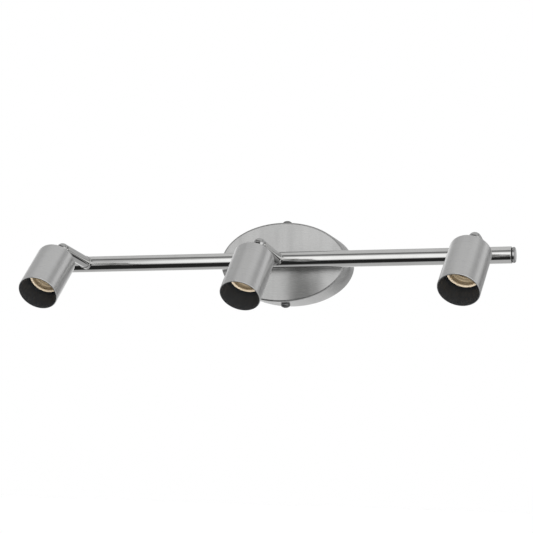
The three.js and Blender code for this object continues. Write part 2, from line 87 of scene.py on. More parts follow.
MM = 0.001
SIDES = ("left", "middle", "right")
JOINTS = {joint["name"]: joint for joint in frame["joints"]}
MOUNTS = {mount["name"]: mount for mount in frame["record"]["mounts"]}

# ---- camera: degrees about the object, metres, millimetres of lens ----

CAMERA_YAW = 17.7
CAMERA_RISE = 8.53                 # how far the view looks up
CAMERA_ROLL = -1.52
CAMERA_DISTANCE = 1.8622
CAMERA_TARGET = (-0.0282, -0.0268, -0.00182)
CAMERA_LENS = 96.3
CAMERA_SENSOR = 36
CAMERA_REACH = 200                 # far clip, beyond the floor's edge
FLOOR_DROP = 0.75                  # floor below the object's lowest point
FLOOR_SIZE = 60.0
FLOOR_GLOW = 0.08                  # brings the floor to the backdrop's white

# ---- sizes in millimetres; a name without a kind is a diameter ----

GAP = 0.3                          # between pieces that fit into one another
ROUND = 96                         # sides of the large turned pieces
SMALL = 48                         # sides of the small ones
SHARP_ANGLE = 32                   # degrees; an edge that bends more is drawn sharp

THREAD_DEPTH = 0.15                # the nipple's, bolts', studs' and nuts' thread
THREAD_PITCH = 1.0
THREAD_STEP = 0.22                 # between an outline's corners along the thread
NUT_THREAD_STEP = 0.2
SCREW_THREAD_DEPTH = 0.22
SCREW_THREAD_PITCH = 0.8
SCREW_THREAD_STEP = 0.12
LAMP_THREAD_DEPTH = 0.2
LAMP_THREAD_PITCH = 2.4
LAMP_THREAD_STEP = 0.3
SHANK_PLAY = 0.5                   # a screw's shank is this much under its nominal size

CANOPY_WALL = 1.5
CANOPY_EDGE_RADIUS = 2.5
SIDE_SCREW_DEPTH = 30              # its height above the wall
SIDE_SCREW_HEAD = 12
SIDE_SCREW_HEAD_HEIGHT = 5.2
SIDE_SCREW_LENGTH = 9
SIDE_SCREW_RECESS = 3.4
SIDE_SCREW = 4

STRAP_THICKNESS = 2
STRAP_WIDTH = 18
EAR_LENGTH = 37
BOX_SLOT = (5, 11)                 # width and length
BOX_SLOT_OFFSET = 35
GROUND_SCREW = 4
GROUND_SCREW_HEAD = 8
GROUND_SCREW_HEAD_HEIGHT = 2.6
GROUND_SCREW_LENGTH = 8
GROUND_SCREW_RECESS = 1.6
GROUND_SCREW_OFFSET = -17

NIPPLE = 9.5
NIPPLE_BORE = 6.5
NIPPLE_FLANGE = 12
NIPPLE_FLANGE_HEIGHT = 1.6
NIPPLE_TAIL = 16                   # how far it reaches in behind the canopy's face
NIPPLE_NUT = 16
NIPPLE_NUT_HEIGHT = 4
SPACER = 18

BAR_WALL = 1.2
CAP_THICKNESS = 4.5
CAP_INSET = 0.7                    # the cap's disc is this much smaller than the bar
CAP_GROOVE = 1.3
CAP_PLUG_DEPTH = 12

STEM = 15.5
STEM_BORE = 11
STEM_FLOOR = 3
COLLAR = 17
COLLAR_TOP = 14                    # height above the bar's axis
BOLT = 8
BOLT_BORE = 5
BOLT_FOOT = 1.5                    # heights above the bar's axis
BOLT_FLANGE = 10.2
BOLT_FLANGE_HEIGHT = 1.8
LOCK_NUT = 12.5
LOCK_NUT_FOOT = 2.2
LOCK_NUT_TOP = 5.2
SLOT_WIDTH = 6.6
SLOT_RADIUS = 4.7                  # the slot's rounded roof, about the pivot
HIGHEST_TILT = 30                  # degrees below the stem's line where the tongue stops
PIVOT_PIN = 3
PIVOT_HEAD = 6
PIVOT_HEAD_HEIGHT = 1.4
PIVOT_RECESS = 0.9
PIVOT_HEAD_SEAT = 5.5              # stem's axis to the underside of the pivot screw's head
PIVOT_TIP = 6.6                    # stem's axis to its tip

TONGUE_THICKNESS = 6
TONGUE_RADIUS = 4.2
BOSS = 19
BOSS_THICKNESS = 3
HEAD_OFFSET = 20                   # from the pivot to the shell's closed end
HEAD = 50
HEAD_LENGTH = 69
HEAD_WALL = 1.3
HEAD_EDGE_RADIUS = 4
HEAD_RIM_RADIUS = 1.1
STUD = 8
STUD_LENGTH = 9
STUD_NUT = 13
STUD_NUT_HEIGHT = 4
WIRE_HOLE = 7
WIRE_HOLE_OFFSET = 14
GROMMET_BORE = 4
GROMMET_LIP = 1                    # the lip's thickness

SOCKET_RECESS = 26.5               # from the shell's rim to the lamp holder's face
SOCKET = 41
SOCKET_MOUTH = 35.5
SOCKET_BODY = 31
SOCKET_BODY_LENGTH = 14
SOCKET_BORE = 29
SOCKET_BASE = 31                   # height of its back above the pivot
SOCKET_FLOOR = 4
SOCKET_SHOULDER = 5                # below its face, where the mouth starts to narrow
SOCKET_THROAT = 9                  # and where the bore starts
SHELL_SHEET = 0.5
BRACKET_THICKNESS = 1.2
BRACKET_WIDTH = 10
BRACKET_LEG = 11                   # how far its legs grip the lamp holder


def node_size(node):
    """A CAD node's size and centre in millimetres."""
    low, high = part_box(node)
    return (high - low) / MM, (high + low) / (2 * MM)


CANOPY_SIZE, _ = node_size("canopy")
BAR_SIZE, BAR_CENTRE = node_size("bar_tube")
CANOPY_LENGTH, CANOPY_DEPTH, CANOPY_WIDTH = CANOPY_SIZE
BAR_HALF_LENGTH = BAR_SIZE.x / 2
BAR_RADIUS = BAR_SIZE.z / 2
BAR_STANDOFF = -BAR_CENTRE.y
PIVOT_DISTANCE = (
    Vector(JOINTS["tilt_left"]["pos_m"]) - Vector(JOINTS["swivel_left"]["pos_m"])
).length / MM
STEM_FOOT = COLLAR_TOP + GAP
BRACKET_SEAT = HEAD_OFFSET + HEAD_WALL + GAP
SOCKET_FACE = HEAD_OFFSET + HEAD_LENGTH - SOCKET_RECESS


def placed(origin, z_axis, x_axis=(1, 0, 0)):
    """A placement with its Z along z_axis and its X as near x_axis as it can be."""
    z = Vector(z_axis).normalized()
    x = Vector(x_axis)
    x = (x - x.project(z)).normalized()
    matrix = Matrix((x, z.cross(x), z)).transposed().to_4x4()
    matrix.translation = Vector(origin)
    return matrix


def shifted(matrix, x=0, y=0, z=0):
    return matrix @ Matrix.Translation(Vector((x, y, z)) * MM)


def turned(matrix, angle, axis):
    return matrix @ Matrix.Rotation(math.radians(angle), 4, axis)


# ---- node helpers for materials ----

def new_material(name):
    material = bpy.data.materials.new(name)
    material.use_nodes = True
    tree = material.node_tree
    return material, tree, tree.nodes["Principled BSDF"]


def add(tree, kind, **values):
    """A node of that kind, with its properties and named inputs set."""
    node = tree.nodes.new(kind)
    for key, value in values.items():
        if hasattr(node, key):
            setattr(node, key, value)
        else:
            node.inputs[key.replace("_", " ")].default_value = value
    return node


EVEN = (1, 1, 1)                   # a noise that isn't stretched


def stretched_noise(tree, stretch, scale, detail, roughness=0.6):
    """Noise in the piece's own frame, with each axis scaled by stretch."""
    place = add(tree, "ShaderNodeTexCoord")
    mapping = add(tree, "ShaderNodeMapping")
    mapping.inputs["Scale"].default_value = stretch
    noise = add(tree, "ShaderNodeTexNoise", Scale=scale, Detail=detail, Roughness=roughness)
    tree.links.new(place.outputs["Object"], mapping.inputs["Vector"])
    tree.links.new(mapping.outputs["Vector"], noise.inputs["Vector"])
    return noise.outputs["Fac"]


def ramp(tree, source, stops):
    node = add(tree, "ShaderNodeValToRGB")
    elements = node.color_ramp.elements
    while len(elements) < len(stops):
        elements.new(0.5)
    for element, (position, value) in zip(elements, stops):
        element.position = position
        element.color = (*value, 1) if hasattr(value, "__len__") else (value, value, value, 1)
    tree.links.new(source, node.inputs["Fac"])
    return node.outputs["Color"]


def spread(tree, source, low, high):
    """Maps the middle of a noise's range onto low to high."""
    node = add(tree, "ShaderNodeMapRange", From_Min=0.3, From_Max=0.7, To_Min=low, To_Max=high)
    tree.links.new(source, node.inputs["Value"])
    return node.outputs["Result"]


def bump(tree, shader, height, strength, distance_mm):
    node = add(tree, "ShaderNodeBump", Strength=strength, Distance=distance_mm * MM)
    tree.links.new(height, node.inputs["Height"])
    tree.links.new(node.outputs["Normal"], shader.inputs["Normal"])


def dimmed(tint, share):
    return tuple(channel * share for channel in tint)


def brushed_metal(name, tint, grain, smear, roughness, anisotropy, axis, turn):
    """Metal with fine parallel brush lines and broad soft smears. grain and smear scale
    their noises along each axis."""
    material, tree, shader = new_material(name)
    shader.inputs["Metallic"].default_value = 1.0
    shader.inputs["Anisotropic"].default_value = anisotropy
    shader.inputs["Anisotropic Rotation"].default_value = turn
    tangent = add(tree, "ShaderNodeTangent", direction_type="RADIAL", axis=axis)
    tree.links.new(tangent.outputs["Tangent"], shader.inputs["Tangent"])
    lines = stretched_noise(tree, grain, scale=1.0, detail=5, roughness=0.7)
    cloud = stretched_noise(tree, smear, scale=1.0, detail=3)
    dark = dimmed(tint, 0.80)
    mixed = add(tree, "ShaderNodeMath", operation="MULTIPLY_ADD")
    cloud_share = 0.8
    tree.links.new(cloud, mixed.inputs[0])
    mixed.inputs[1].default_value = cloud_share
    tree.links.new(lines, mixed.inputs[2])
    colour = ramp(tree, mixed.outputs[0], [(0.65, dark), (1.15, tint)])
    tree.links.new(colour, shader.inputs["Base Color"])
    low, high = roughness
    tree.links.new(spread(tree, lines, low, high), shader.inputs["Roughness"])
    bump(tree, shader, lines, strength=0.12, distance_mm=0.05)
    return material


def polished_metal(name, tint, roughness):
    """Bright plating with faint polishing marks."""
    material, tree, shader = new_material(name)
    shader.inputs["Metallic"].default_value = 1.0
    marks = stretched_noise(tree, EVEN, scale=900.0, detail=2)
    cloud = stretched_noise(tree, EVEN, scale=30.0, detail=3)
    dark = dimmed(tint, 0.92)
    tree.links.new(ramp(tree, cloud, [(0.35, dark), (0.65, tint)]), shader.inputs["Base Color"])
    low, high = roughness
    tree.links.new(spread(tree, cloud, low, high), shader.inputs["Roughness"])
    bump(tree, shader, marks, strength=0.04, distance_mm=0.02)
    return material


def plated_steel(name, tint, speck):
    """Zinc plating: small crystals with slightly different brightness, speck across."""
    material, tree, shader = new_material(name)
    shader.inputs["Metallic"].default_value = 1.0
    place = add(tree, "ShaderNodeTexCoord")
    crystals = add(tree, "ShaderNodeTexVoronoi", Scale=1 / (speck * MM))
    tree.links.new(place.outputs["Object"], crystals.inputs["Vector"])
    dark = dimmed(tint, 0.72)
    colour = ramp(tree, crystals.outputs["Color"], [(0.1, dark), (0.9, tint)])
    tree.links.new(colour, shader.inputs["Base Color"])
    cloud = stretched_noise(tree, EVEN, scale=160.0, detail=4)
    tree.links.new(spread(tree, cloud, low=0.32, high=0.5), shader.inputs["Roughness"])
    bump(tree, shader, cloud, strength=0.15, distance_mm=0.05)
    return material


def coated(name, tint, dark, roughness, grain, relief, metallic=0.0):
    """Paint, rubber, glaze or dull brass: a cloudy colour over a fine grain."""
    material, tree, shader = new_material(name)
    shader.inputs["Metallic"].default_value = metallic
    cloud = stretched_noise(tree, EVEN, scale=grain / 6, detail=4)
    fine = stretched_noise(tree, EVEN, scale=grain, detail=3)
    tree.links.new(ramp(tree, cloud, [(0.3, dark), (0.7, tint)]), shader.inputs["Base Color"])
    low, high = roughness
    tree.links.new(spread(tree, cloud, low, high), shader.inputs["Roughness"])
    bump(tree, shader, fine, strength=relief, distance_mm=0.08)
    return material


NICKEL = (0.74, 0.74, 0.735)
CANOPY_NICKEL = (0.54, 0.54, 0.535)
TURNED_GRAIN = (30, 30, 2600)      # rings round the axis of a turned piece
TURNED_SMEAR = (40, 40, 8)         # and smears along it
FACE_GRAIN = (25, 2600, 2600)      # lines along the canopy's length
FACE_SMEAR = (55, 9, 9)            # and smears across them

FINISHES = {
    "satin_nickel": brushed_metal(
        "satin_nickel", NICKEL, TURNED_GRAIN, TURNED_SMEAR,
        roughness=(0.26, 0.36), anisotropy=0.7, axis="Z", turn=0.25),
    "satin_canopy": brushed_metal(
        "satin_canopy", CANOPY_NICKEL, FACE_GRAIN, FACE_SMEAR,
        roughness=(0.22, 0.34), anisotropy=0.75, axis="X", turn=0.0),
    "polished_nickel": polished_metal("polished_nickel", (0.78, 0.78, 0.77), (0.06, 0.12)),
    "zinc_steel": plated_steel("zinc_steel", (0.56, 0.57, 0.58), speck=1.6),
    "screw_steel": polished_metal("screw_steel", (0.17, 0.17, 0.17), (0.14, 0.22)),
    "stem_nickel": polished_metal("stem_nickel", (0.60, 0.60, 0.595), (0.05, 0.10)),
    "cap_nickel": polished_metal("cap_nickel", (0.46, 0.46, 0.46), (0.14, 0.22)),
    "brass": coated(
        "brass", (0.52, 0.42, 0.28), (0.43, 0.34, 0.22),
        roughness=(0.35, 0.5), grain=900, relief=0.1, metallic=0.45),
    "porcelain": coated(
        "porcelain", (0.78, 0.66, 0.50), (0.70, 0.58, 0.42),
        roughness=(0.25, 0.4), grain=400, relief=0.05),
    "green_screw": coated(
        "green_screw", (0.05, 0.26, 0.10), (0.03, 0.19, 0.07),
        roughness=(0.35, 0.5), grain=900, relief=0.1),
    # Black rubber for the grommets, also used as painted shade in the end caps' grooves.
    "black_rubber": coated(
        "black_rubber", (0.02, 0.02, 0.02), (0.012, 0.012, 0.012),
        roughness=(0.6, 0.8), grain=1500, relief=0.3),
    "black_paint": coated(
        "black_paint", (0.034, 0.036, 0.039), (0.024, 0.026, 0.028),
        roughness=(0.5, 0.7), grain=1200, relief=0.25),
}


# ---- mesh helpers ----

def fillet(corners, steps=5):
    """An outline's points, with each corner (x, y, radius) rounded and (x, y) left sharp."""
    points = []
    for i, corner in enumerate(corners):
        here = Vector(corner[:2])
        radius = corner[2] if len(corner) > 2 else 0
        if radius <= 0:
            points.append(here)
            continue
        back = (Vector(corners[i - 1][:2]) - here).normalized()
        ahead = (Vector(corners[(i + 1) % len(corners)][:2]) - here).normalized()
        half = back.angle(ahead) / 2
        centre = here + (back + ahead).normalized() * (radius / math.sin(half))
        start = here + back * (radius / math.tan(half)) - centre
        end = here + ahead * (radius / math.tan(half)) - centre
        sweep = start.angle(end)
        for k in range(steps + 1):
            share = k / steps
            mix = start * math.sin((1 - share) * sweep) + end * math.sin(share * sweep)
            points.append(centre + mix / math.sin(sweep))
    return points


def to_object(name, mesh_data):
    bmesh.ops.recalc_face_normals(mesh_data, faces=mesh_data.faces)
    data = bpy.data.meshes.new(name)
    mesh_data.to_mesh(data)
    mesh_data.free()
    obj = bpy.data.objects.new(name, data)
    bpy.context.scene.collection.objects.link(obj)
    return obj


def bridge(mesh_data, rings, closed):
    """Faces between each ring of vertices and the next. A ring of one vertex is a tip."""
    following = rings[1:] + (rings[:1] if closed else [])
    for ring, after in zip(rings, following):
        count = max(len(ring), len(after))
        for k in range(count):
            quad = [
                ring[k % len(ring)], ring[(k + 1) % len(ring)],
                after[(k + 1) % len(after)], after[k % len(after)],
            ]
            corners = list(dict.fromkeys(quad))
            if len(corners) > 2:
                mesh_data.faces.new(corners)


def lathe(name, corners, sides=SMALL, steps=5, swell=None):
    """Turns an outline of (radius, height[, rounding]) corners about Z. An outline that
    starts and ends on the axis is closed by it, and any other closes on itself. swell
    changes the radius at a height and an angle, as a thread does."""
    mesh_data = bmesh.new()
    rings = []
    for radius, height in fillet(corners, steps):
        if radius < 1e-6:
            rings.append([mesh_data.verts.new((0, 0, height * MM))])
            continue
        ring = []
        for k in range(sides):
            angle = 2 * math.pi * k / sides
            reach = swell(radius, height, angle) if swell else radius
            ring.append(mesh_data.verts.new(
                (reach * math.cos(angle) * MM, reach * math.sin(angle) * MM, height * MM)
            ))
        rings.append(ring)
    on_axis = len(rings[0]) == 1 and len(rings[-1]) == 1
    bridge(mesh_data, rings, not on_axis)
    return to_object(name, mesh_data)


def rod(name, diameter, low, high, sides=SMALL):
    radius = diameter / 2
    return lathe(name, [(0, low), (radius, low), (radius, high), (0, high)], sides)


def prism(name, corners, low, high, steps=6):
    """An outline in XY with rounded corners, from one height to another."""
    outline = fillet(corners, steps)
    mesh_data = bmesh.new()
    rings = [
        [mesh_data.verts.new((x * MM, y * MM, z * MM)) for x, y in outline]
        for z in (low, high)
    ]
    bridge(mesh_data, rings, False)
    mesh_data.faces.new(rings[0])
    mesh_data.faces.new(rings[1])
    return to_object(name, mesh_data)


def apply_modifiers(obj):
    graph = bpy.context.evaluated_depsgraph_get()
    data = bpy.data.meshes.new_from_object(obj.evaluated_get(graph))
    obj.modifiers.clear()
    obj.data = data


def combine(obj, others, operation):
    """Applies the others to the piece with an exact boolean, and removes them."""
    for other in others:
        modifier = obj.modifiers.new("combine", "BOOLEAN")
        modifier.operation = operation
        modifier.solver = "EXACT"
        modifier.object = other
    apply_modifiers(obj)
    for other in others:
        bpy.data.objects.remove(other)
    return obj


def cut(obj, *others):
    return combine(obj, others, "DIFFERENCE")


def join(obj, *others):
    return combine(obj, others, "UNION")


def common(obj, *others):
    return combine(obj, others, "INTERSECT")


def moved(obj, x=0, y=0, z=0, angle=0, axis="X"):
    """Turns a mesh's own vertices about an axis of its frame, and then moves them."""
    obj.data.transform(
        Matrix.Translation(Vector((x, y, z)) * MM)
        @ Matrix.Rotation(math.radians(angle), 4, axis)
    )
    return obj


def soften(obj, width, segments=3, angle=35):
    """Rounds the edges that are sharper than angle."""
    modifier = obj.modifiers.new("soften", "BEVEL")
    modifier.width = width * MM
    modifier.segments = segments
    modifier.limit_method = "ANGLE"
    modifier.angle_limit = math.radians(angle)
    modifier.use_clamp_overlap = True
    apply_modifiers(obj)
    return obj


def dress(obj, node, placement, finish):
    """Puts a finished piece in place of its CAD node, on that node's body."""
    obj.data.materials.clear()
    obj.data.materials.append(FINISHES[finish])
    for polygon in obj.data.polygons:
        polygon.use_smooth = True
    obj.data.set_sharp_from_angle(angle=math.radians(SHARP_ANGLE))
    modifier = obj.modifiers.new("normals", "WEIGHTED_NORMAL")
    modifier.keep_sharp = True
    modifier.weight = 90
    obj.matrix_world = placement
    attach(obj, frame["nodes"][node]["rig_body"])
    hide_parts(node)
    return obj


def thread(depth, pitch, low, high):
    """A swell that rolls a screw thread between two heights and fades out at both."""
    def swell(radius, height, angle):
        fade = min(1, max(0, height - low), max(0, high - height))
        return radius + depth * fade * math.cos(2 * math.pi * height / pitch - angle)
    return swell


def rungs(radius, low, high, spacing):
    """Corners close enough together to carry a thread."""
    count = max(2, round(abs(high - low) / spacing))
    return [(radius, low + (high - low) * k / count) for k in range(count + 1)]


# ---- fasteners, each along its own Z ----

def hex_nut(name, flats, hole, low, high):
    """A chamfered hexagon nut with a threaded hole."""
    radius = flats / 2 / math.cos(math.pi / 6)
    chamfer = (radius - flats / 2) * 0.9 * 0.6
    face = flats / 2 - 0.2
    blank = rod(name, 2 * radius, low, high, 6)
    dome = lathe("dome", [
        (0, low), (face, low), (radius, low + chamfer),
        (radius, high - chamfer), (face, high), (0, high),
    ])
    common(blank, dome)
    wall = rungs(hole / 2, low - 1, high + 1, NUT_THREAD_STEP)
    bore = lathe(
        "bore", [(0, low - 1), *wall, (0, high + 1)],
        SMALL, 1, thread(THREAD_DEPTH, THREAD_PITCH, low - 2, high + 2),
    )
    return cut(blank, bore)


def cross_recess(width, depth, top):
    """A tapered cross, for cutting into a screw's head."""
    half_arm = width * 0.14
    arms = []
    for turn in (0, 90):
        arm = prism("arm", [
            (-width / 2, top + 1), (width / 2, top + 1), (width / 2, top),
            (width / 4, top - depth), (-width / 4, top - depth), (-width / 2, top),
        ], -half_arm, half_arm)
        moved(arm, angle=90)
        moved(arm, angle=turn, axis="Z")
        arms.append(arm)
    return join(arms[0], arms[1])


def round_screw(name, shank, head, head_height, length, recess):
    """A round-headed cross screw. Its head sits above height 0."""
    radius = head / 2
    turned_head = [(radius, 0, 0.25)]
    rim_share = 0.35               # of the head's height that its straight rim takes
    for k in range(1, 9):
        angle = math.pi / 2 * k / 9
        height = head_height * (rim_share + (1 - rim_share) * math.sin(angle))
        turned_head.append((radius * math.cos(angle), height))
    tip = shank / 2 * 0.7
    screw = lathe(
        name,
        [
            (0, -length), (tip, -length),
            *rungs(shank / 2, -length + 0.5, -0.2, SCREW_THREAD_STEP), (shank / 2, 0),
            *turned_head, (0, head_height),
        ],
        SMALL, 4, thread(SCREW_THREAD_DEPTH, SCREW_THREAD_PITCH, -length, -0.1),
    )
    return cut(screw, cross_recess(head * 0.56, recess, head_height))


# ---- canopy, and what holds it and the bar ----

def oval_rings():
    """The canopy's rings as (half length, half width, height), from the hole in its face,
    out over the edge, down the skirt, and back up inside to the hole."""
    half_length, half_width = CANOPY_LENGTH / 2, CANOPY_WIDTH / 2
    hole = NIPPLE / 2 + GAP
    edge, wall = CANOPY_EDGE_RADIUS, CANOPY_WALL
    face_rings, skirt_rings = 14, 10

    def face(height, inset):
        shares = [k / face_rings for k in range(face_rings)]
        return [(
            hole + (half_length - inset - hole) * share,
            hole + (half_width - inset - hole) * share,
            height,
        ) for share in shares]

    def bend(radius, steps):
        angles = [math.pi / 2 * k / steps for k in range(steps + 1)]
        return [(radius * math.sin(a), radius * math.cos(a)) for a in angles]

    rings = face(CANOPY_DEPTH, edge + 1)
    for out, up in bend(edge, 8):
        inset = edge - out
        rings.append((half_length - inset, half_width - inset, CANOPY_DEPTH - edge + up))
    skirt = [(CANOPY_DEPTH - edge) * (1 - k / skirt_rings) for k in range(1, skirt_rings)]
    rings += [(half_length, half_width, height) for height in skirt]
    rings += [(half_length, half_width, 0.5), (half_length - 0.4, half_width - 0.4, 0)]
    rings += [(half_length - wall + 0.3, half_width - wall + 0.3, 0)]
    rings += [(half_length - wall, half_width - wall, 0.3)]
    rings += [(half_length - wall, half_width - wall, height) for height in reversed(skirt)]
    inner = edge - wall
    for out, up in reversed(bend(inner, 3)):
        inset = wall + inner - out
        rings.append((half_length - inset, half_width - inset, CANOPY_DEPTH - edge + up))
    rings += reversed(face(CANOPY_DEPTH - wall, edge + 1))
    return rings


def side_screw_holes():
    """A rod through the top and bottom of the skirt, for cutting both screws' holes."""
    hole = rod("hole", SIDE_SCREW + 2 * GAP, -CANOPY_WIDTH, CANOPY_WIDTH)
    return moved(hole, z=SIDE_SCREW_DEPTH, angle=90)


def make_canopy():
    mesh_data = bmesh.new()
    count = 2 * ROUND
    rings = []
    for half_length, half_width, height in oval_rings():
        angles = [2 * math.pi * k / count for k in range(count)]
        rings.append([mesh_data.verts.new((
            half_length * math.cos(a) * MM, half_width * math.sin(a) * MM, height * MM,
        )) for a in angles])
    bridge(mesh_data, rings, True)
    canopy = to_object("canopy_pan", mesh_data)
    return cut(canopy, side_screw_holes())


def make_bracket():
    """A U-shaped strap with rounded bends, an ear for each side screw and two box slots."""
    half_span = CANOPY_WIDTH / 2 - CANOPY_WALL - 2 * GAP
    inner = half_span - STRAP_THICKNESS
    outer_bend, inner_bend = 2.6, 0.8
    strap = prism("mounting_strap", [
        (-half_span, 0, outer_bend), (half_span, 0, outer_bend),
        (half_span, EAR_LENGTH), (inner, EAR_LENGTH),
        (inner, STRAP_THICKNESS, inner_bend), (-inner, STRAP_THICKNESS, inner_bend),
        (-inner, EAR_LENGTH), (-half_span, EAR_LENGTH),
    ], -STRAP_WIDTH / 2, STRAP_WIDTH / 2)
    moved(strap, angle=90, axis="X")
    moved(strap, angle=90, axis="Z")
    width, length = BOX_SLOT
    end = width / 2 - 0.01
    cutters = [side_screw_holes()]
    for side in (-1, 1):
        slot = prism("slot", [
            (-width / 2, -length / 2, end), (width / 2, -length / 2, end),
            (width / 2, length / 2, end), (-width / 2, length / 2, end),
        ], -1, STRAP_THICKNESS + 1)
        cutters.append(moved(slot, y=side * BOX_SLOT_OFFSET))
    hole = rod("hole", GROUND_SCREW + 2 * GAP, -1, STRAP_THICKNESS + 1)
    cutters.append(moved(hole, y=GROUND_SCREW_OFFSET))
    return soften(cut(strap, *cutters), 0.35)


def make_nipple():
    """The threaded nipple, with its flange inside the bar."""
    bore_radius = BAR_RADIUS - BAR_WALL
    seat = BAR_STANDOFF - math.sqrt(bore_radius ** 2 - (NIPPLE_FLANGE / 2) ** 2) + GAP
    top = seat + NIPPLE_FLANGE_HEIGHT
    low = CANOPY_DEPTH - NIPPLE_TAIL
    radius = NIPPLE / 2
    return lathe("threaded_nipple", [
        (NIPPLE_BORE / 2, low, 0.3), (radius - 0.3, low, 0.3),
        *rungs(radius - THREAD_DEPTH, low + 0.6, seat, THREAD_STEP),
        (NIPPLE_FLANGE / 2, seat, 0.3), (NIPPLE_FLANGE / 2, top, 0.4),
        (NIPPLE_BORE / 2, top, 0.3),
    ], SMALL, 3, thread(THREAD_DEPTH, THREAD_PITCH, low + 0.6, seat))


def saddle(name, diameter, top, hole):
    """A round pad that follows the bar's curve on one side. Height 0 is the bar's axis."""
    radius = diameter / 2
    pad = lathe(name, [(0, 0), (radius, 0), (radius, top, 0.6), (0, top)])
    bar = moved(rod("bar", 2 * (BAR_RADIUS + 0.05), -30, 30, ROUND), angle=90, axis="Y")
    cut(pad, bar, rod("hole", hole, -1, top + 1))
    return pad


def build_canopy():
    placement = placed((0, 0, 0), (0, -1, 0))
    dress(make_canopy(), "canopy", placement, "satin_canopy")
    dress(make_bracket(), "mounting_bracket", placement, "zinc_steel")
    dress(make_nipple(), "center_nipple", placement, "zinc_steel")
    nut_face = CANOPY_DEPTH - CANOPY_WALL - GAP
    nut = hex_nut(
        "nipple_nut", NIPPLE_NUT, NIPPLE + 2 * GAP, nut_face - NIPPLE_NUT_HEIGHT, nut_face,
    )
    dress(nut, "center_nut", placement, "zinc_steel")
    ground = round_screw(
        "grounding_screw", GROUND_SCREW - SHANK_PLAY, GROUND_SCREW_HEAD,
        GROUND_SCREW_HEAD_HEIGHT, GROUND_SCREW_LENGTH, GROUND_SCREW_RECESS,
    )
    ground_place = shifted(placement, 0, GROUND_SCREW_OFFSET, STRAP_THICKNESS + GAP)
    dress(ground, "ground_screw", ground_place, "green_screw")
    for end, side in (("top", 1), ("bottom", -1)):
        screw = round_screw(
            f"side_screw_{end}", SIDE_SCREW - SHANK_PLAY, SIDE_SCREW_HEAD,
            SIDE_SCREW_HEAD_HEIGHT, SIDE_SCREW_LENGTH, SIDE_SCREW_RECESS,
        )
        seat = shifted(placement, 0, side * (CANOPY_WIDTH / 2 + GAP), SIDE_SCREW_DEPTH)
        dress(screw, f"canopy_screw_{end}", turned(seat, -90 * side, "X"), "screw_steel")
    spacer_place = turned(shifted(placement, 0, 0, BAR_STANDOFF), 180, "X")
    height = BAR_STANDOFF - CANOPY_DEPTH - 0.1
    spacer = saddle("saddle_spacer", SPACER, height, NIPPLE + 2 * GAP)
    dress(spacer, "bar_spacer", spacer_place, "polished_nickel")


# ---- bar ----

def make_bar():
    """The tube, with its axis along X and Z pointing away from the wall."""
    bore = BAR_RADIUS - BAR_WALL
    rings = 24
    lengths = [BAR_HALF_LENGTH * (k / (rings // 2) - 1) for k in range(1, rings)]
    bar = lathe("bar", [
        (bore, -BAR_HALF_LENGTH, 0.3), (BAR_RADIUS, -BAR_HALF_LENGTH, 0.6),
        *[(BAR_RADIUS, length) for length in lengths],
        (BAR_RADIUS, BAR_HALF_LENGTH, 0.6), (bore, BAR_HALF_LENGTH, 0.3),
        *[(bore, -length) for length in lengths],
    ], ROUND)
    moved(bar, angle=90, axis="Y")
    cutters = [rod("hole", NIPPLE + 2 * GAP, -2 * BAR_RADIUS, 0)]
    for side in SIDES:
        joint = JOINTS[f"swivel_{side}"]
        lift = math.degrees(math.asin(joint["axis"][2]))
        hole = rod("hole", BOLT + 2 * GAP, 0, 2 * BAR_RADIUS)
        cutters.append(moved(hole, x=joint["pos_m"][0] / MM, angle=-lift))
    return cut(bar, *cutters)


def make_cap(name):
    """A rounded disc on a plug, with a narrow groove where it meets the tube."""
    bore = BAR_RADIUS - BAR_WALL - GAP
    rim = BAR_RADIUS - CAP_INSET
    return lathe(name, [
        (0, -CAP_PLUG_DEPTH), (bore, -CAP_PLUG_DEPTH, 0.8), (bore, 0), (bore, CAP_GROOVE),
        (rim, CAP_GROOVE, 0.3), (rim, CAP_THICKNESS, 2.0), (rim - 5, CAP_THICKNESS),
        (0, CAP_THICKNESS),
    ], ROUND, 8)


def paint_where(obj, finish, test):
    """Gives a second finish to the faces whose centre, in millimetres, passes the test."""
    obj.data.materials.append(FINISHES[finish])
    for polygon in obj.data.polygons:
        x, y, z = polygon.center / MM
        if test(math.hypot(x, y), z):
            polygon.material_index = 1


def build_bar():
    placement = placed((0, BAR_CENTRE.y * MM, 0), (0, -1, 0))
    dress(make_bar(), "bar_tube", placement, "polished_nickel")
    for end, side in (("left", -1), ("right", 1)):
        seat = turned(shifted(placement, side * BAR_HALF_LENGTH), 90 * side, "Y")
        cap = dress(make_cap(f"bar_cap_{end}"), f"end_cap_{end}", seat, "cap_nickel")
        # The groove's floor and the plug get the black finish: painted shade in the groove between
        # the cap and the tube.
        paint_where(cap, "black_rubber", lambda reach, height: height < CAP_GROOVE - 0.05)


# ---- arms ----

def make_bolt(name):
    """The hollow bolt that a stem turns on, with its flange inside the stem."""
    flange = STEM_FOOT + STEM_FLOOR + GAP
    top = flange + BOLT_FLANGE_HEIGHT
    radius = BOLT / 2 - THREAD_DEPTH
    return lathe(name, [
        (BOLT_BORE / 2, BOLT_FOOT, 0.2), (radius - 0.2, BOLT_FOOT, 0.2),
        *rungs(radius, BOLT_FOOT + 0.5, flange, THREAD_STEP),
        (BOLT_FLANGE / 2, flange, 0.3), (BOLT_FLANGE / 2, top, 0.5), (BOLT_BORE / 2, top, 0.3),
    ], SMALL, 3, thread(THREAD_DEPTH, THREAD_PITCH, BOLT_FOOT + 0.1, flange))


